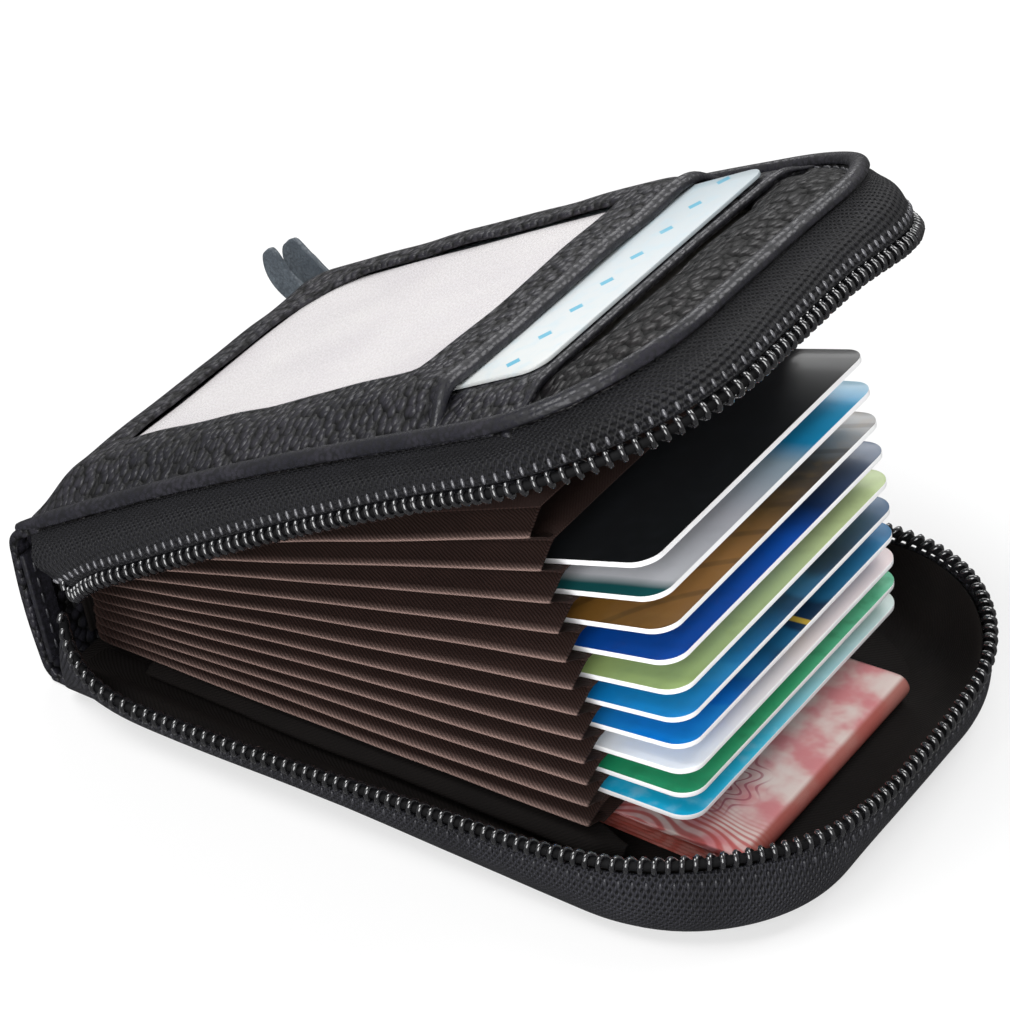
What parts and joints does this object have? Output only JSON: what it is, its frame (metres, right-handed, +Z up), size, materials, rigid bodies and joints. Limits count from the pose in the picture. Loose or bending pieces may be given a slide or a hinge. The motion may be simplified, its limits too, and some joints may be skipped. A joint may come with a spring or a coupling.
{
  "type": "card wallet",
  "caption": "Zip-around leather card wallet lying open on its back cover, with an accordion of pleated card pockets, a window pocket on its front and folded notes in its floor.",
  "frame": {"origin": "middle of the back cover's outer face, which lies on the table", "axes": "+X from the spine to the free end, +Y to the side with the zip slider, +Z up out of the back cover"},
  "size_m": [0.1306, 0.0921, 0.0779],
  "materials": {
    "grained_leather": "pebbled, satin",
    "lining_cloth": "matte woven",
    "stiffener_board": "matte",
    "zip_tape": "woven twill",
    "zip_coil": "glossy nylon",
    "pleat_cloth": "fine woven",
    "window_film": "milky",
    "slip_paper": "satin",
    "note_paper": "matte printed",
    "zip_metal": "gunmetal",
    "strap_leather": "smooth",
    "card_cyan": "printed",
    "card_green": "printed",
    "card_white": "printed",
    "card_navy": "printed",
    "card_blue": "printed",
    "card_olive": "printed",
    "card_royal": "printed",
    "card_gold": "printed",
    "card_sky": "printed",
    "card_black": "printed"
  },
  "bodies": {
    "back_half": {"back_cover": "grained_leather", "back_board": "stiffener_board", "back_lining": "lining_cloth", "lower_zip_tape": "zip_tape", "lower_zip_coil": "zip_coil"},
    "spine": {"spine_panel": "grained_leather", "spine_lining": "lining_cloth"},
    "front_cover": {"front_lining": "lining_cloth", "front_board": "stiffener_board", "upper_zip_tape": "zip_tape", "upper_zip_coil": "zip_coil", "front_panel": "grained_leather", "slot_panel": "grained_leather", "id_window": "window_film", "window_panel": "grained_leather"},
    "pocket_wall_00": {"leaf_00": "pleat_cloth", "pleat_01": "pleat_cloth"},
    "pocket_wall_01": {"leaf_01": "pleat_cloth", "pleat_02": "pleat_cloth"},
    "pocket_wall_02": {"leaf_02": "pleat_cloth", "pleat_03": "pleat_cloth"},
    "pocket_wall_03": {"leaf_03": "pleat_cloth", "pleat_04": "pleat_cloth"},
    "pocket_wall_04": {"leaf_04": "pleat_cloth", "pleat_05": "pleat_cloth"},
    "pocket_wall_05": {"leaf_05": "pleat_cloth", "pleat_06": "pleat_cloth"},
    "pocket_wall_06": {"leaf_06": "pleat_cloth", "pleat_07": "pleat_cloth"},
    "pocket_wall_07": {"leaf_07": "pleat_cloth", "pleat_08": "pleat_cloth"},
    "pocket_wall_08": {"leaf_08": "pleat_cloth", "pleat_09": "pleat_cloth"},
    "pocket_wall_09": {"leaf_09": "pleat_cloth", "pleat_10": "pleat_cloth"},
    "pocket_wall_10": {"leaf_10": "pleat_cloth", "pleat_11": "pleat_cloth"},
    "pocket_wall_11": {"leaf_11": "pleat_cloth", "pleat_12": "pleat_cloth"},
    "pocket_wall_12": {"leaf_12": "pleat_cloth"},
    "held_card_01": {"card_01": "card_cyan"},
    "held_card_02": {"card_02": "card_green"},
    "held_card_03": {"card_03": "card_white"},
    "held_card_04": {"card_04": "card_navy"},
    "held_card_05": {"card_05": "card_blue"},
    "held_card_06": {"card_06": "card_olive"},
    "held_card_07": {"card_07": "card_royal"},
    "held_card_08": {"card_08": "card_gold"},
    "held_card_09": {"card_09": "card_sky"},
    "held_card_10": {"card_10": "card_black"},
    "held_slip": {"slip_card": "slip_paper"},
    "held_notes": {"note_bundle": "note_paper"},
    "slider": {"slider_body": "zip_metal"},
    "pull": {"pull_loop": "zip_metal", "pull_strap": "strap_leather"}
  },
  "joints": [
    {"name": "cover_fold", "type": "hinge", "parent": "spine", "child": "front_cover", "pos_m": [-0.05874, 0, 0.02199], "axis": [0, -1, 0], "range_deg": [-18, 19]},
    {"name": "spine_fold", "type": "hinge", "parent": "back_half", "child": "spine", "pos_m": [-0.0542, 0, 0.00065], "axis": [0, -1, 0], "range_deg": [-11.37, 12]},
    {"name": "wall_fold_00", "type": "hinge", "parent": "back_half", "child": "pocket_wall_00", "pos_m": [-0.05125, 0, 0.00461], "axis": [0, -1, 0], "range_deg": [-1.62, 1.7]},
    {"name": "wall_fold_01", "type": "hinge", "parent": "pocket_wall_00", "child": "pocket_wall_01", "pos_m": [-0.05129, 0, 0.00591], "axis": [0, -1, 0], "range_deg": [-1.24, 1.3], "deforming": ["pleat_01"]},
    {"name": "wall_fold_02", "type": "hinge", "parent": "pocket_wall_01", "child": "pocket_wall_02", "pos_m": [-0.05136, 0, 0.00721], "axis": [0, -1, 0], "range_deg": [-1.33, 1.4], "deforming": ["pleat_02"]},
    {"name": "wall_fold_03", "type": "hinge", "parent": "pocket_wall_02", "child": "pocket_wall_03", "pos_m": [-0.05146, 0, 0.0085], "axis": [0, -1, 0], "range_deg": [-1.43, 1.5], "deforming": ["pleat_03"]},
    {"name": "wall_fold_04", "type": "hinge", "parent": "pocket_wall_03", "child": "pocket_wall_04", "pos_m": [-0.05159, 0, 0.0098], "axis": [0, -1, 0], "range_deg": [-1.52, 1.6], "deforming": ["pleat_04"]},
    {"name": "wall_fold_05", "type": "hinge", "parent": "pocket_wall_04", "child": "pocket_wall_05", "pos_m": [-0.05176, 0, 0.01109], "axis": [0, -1, 0], "range_deg": [-1.62, 1.7], "deforming": ["pleat_05"]},
    {"name": "wall_fold_06", "type": "hinge", "parent": "pocket_wall_05", "child": "pocket_wall_06", "pos_m": [-0.05197, 0, 0.01237], "axis": [0, -1, 0], "range_deg": [-1.71, 1.8], "deforming": ["pleat_06"]},
    {"name": "wall_fold_07", "type": "hinge", "parent": "pocket_wall_06", "child": "pocket_wall_07", "pos_m": [-0.05222, 0, 0.01365], "axis": [0, -1, 0], "range_deg": [-1.81, 1.9], "deforming": ["pleat_07"]},
    {"name": "wall_fold_08", "type": "hinge", "parent": "pocket_wall_07", "child": "pocket_wall_08", "pos_m": [-0.05251, 0, 0.01491], "axis": [0, -1, 0], "range_deg": [-1.9, 2], "deforming": ["pleat_08"]},
    {"name": "wall_fold_09", "type": "hinge", "parent": "pocket_wall_08", "child": "pocket_wall_09", "pos_m": [-0.05284, 0, 0.01617], "axis": [0, -1, 0], "range_deg": [-1.99, 2.1], "deforming": ["pleat_09"]},
    {"name": "wall_fold_10", "type": "hinge", "parent": "pocket_wall_09", "child": "pocket_wall_10", "pos_m": [-0.05322, 0, 0.01741], "axis": [0, -1, 0], "range_deg": [-2.09, 2.2], "deforming": ["pleat_10"]},
    {"name": "wall_fold_11", "type": "hinge", "parent": "pocket_wall_10", "child": "pocket_wall_11", "pos_m": [-0.05365, 0, 0.01864], "axis": [0, -1, 0], "range_deg": [-2.18, 2.3], "deforming": ["pleat_11"]},
    {"name": "wall_fold_12", "type": "hinge", "parent": "pocket_wall_11", "child": "pocket_wall_12", "pos_m": [-0.05412, 0, 0.01985], "axis": [0, -1, 0], "range_deg": [-2.28, 2.4], "deforming": ["pleat_12"]},
    {"name": "card_slide_01", "type": "slide", "parent": "pocket_wall_01", "child": "held_card_01", "axis": [0.9986, 0, 0.0523], "range_m": [0, 0.06]},
    {"name": "card_slide_02", "type": "slide", "parent": "pocket_wall_02", "child": "held_card_02", "axis": [0.9971, 0, 0.0767], "range_m": [0, 0.06]},
    {"name": "card_slide_03", "type": "slide", "parent": "pocket_wall_03", "child": "held_card_03", "axis": [0.9947, 0, 0.1028], "range_m": [0, 0.06]},
    {"name": "card_slide_04", "type": "slide", "parent": "pocket_wall_04", "child": "held_card_04", "axis": [0.9914, 0, 0.1305], "range_m": [0, 0.06]},
    {"name": "card_slide_05", "type": "slide", "parent": "pocket_wall_05", "child": "held_card_05", "axis": [0.9871, 0, 0.1599], "range_m": [0, 0.06]},
    {"name": "card_slide_06", "type": "slide", "parent": "pocket_wall_06", "child": "held_card_06", "axis": [0.9816, 0, 0.1908], "range_m": [0, 0.06]},
    {"name": "card_slide_07", "type": "slide", "parent": "pocket_wall_07", "child": "held_card_07", "axis": [0.9748, 0, 0.2233], "range_m": [0, 0.06]},
    {"name": "card_slide_08", "type": "slide", "parent": "pocket_wall_08", "child": "held_card_08", "axis": [0.9664, 0, 0.2571], "range_m": [0, 0.06]},
    {"name": "card_slide_09", "type": "slide", "parent": "pocket_wall_09", "child": "held_card_09", "axis": [0.9563, 0, 0.2924], "range_m": [0, 0.06]},
    {"name": "card_slide_10", "type": "slide", "parent": "pocket_wall_10", "child": "held_card_10", "axis": [0.9444, 0, 0.3289], "range_m": [0, 0.06]},
    {"name": "slip_slide", "type": "slide", "parent": "front_cover", "child": "held_slip", "axis": [0.8572, 0, 0.515], "range_m": [0, 0.06]},
    {"name": "notes_slide", "type": "slide", "parent": "back_half", "child": "held_notes", "axis": [1, 0, 0], "range_m": [-0.03, 0]},
    {"name": "zip_slide", "type": "slide", "parent": "back_half", "child": "slider", "axis": [1, 0, 0], "range_m": [0, 0.07]},
    {"name": "pull_swing", "type": "hinge", "parent": "slider", "child": "pull", "pos_m": [-0.04755, 0.04495, 0.01105], "axis": [0, 0, -1], "range_deg": [0, 140]}
  ],
  "couplings": [
    {"joint": "spine_fold", "follows": "cover_fold", "ratio": 0.63158},
    {"joint": "wall_fold_00", "follows": "cover_fold", "ratio": 0.089474},
    {"joint": "wall_fold_01", "follows": "cover_fold", "ratio": 0.068421},
    {"joint": "wall_fold_02", "follows": "cover_fold", "ratio": 0.073684},
    {"joint": "wall_fold_03", "follows": "cover_fold", "ratio": 0.078947},
    {"joint": "wall_fold_04", "follows": "cover_fold", "ratio": 0.08421},
    {"joint": "wall_fold_05", "follows": "cover_fold", "ratio": 0.089474},
    {"joint": "wall_fold_06", "follows": "cover_fold", "ratio": 0.094737},
    {"joint": "wall_fold_07", "follows": "cover_fold", "ratio": 0.1},
    {"joint": "wall_fold_08", "follows": "cover_fold", "ratio": 0.10526},
    {"joint": "wall_fold_09", "follows": "cover_fold", "ratio": 0.11053},
    {"joint": "wall_fold_10", "follows": "cover_fold", "ratio": 0.11579},
    {"joint": "wall_fold_11", "follows": "cover_fold", "ratio": 0.12105},
    {"joint": "wall_fold_12", "follows": "cover_fold", "ratio": 0.12632}
  ]
}
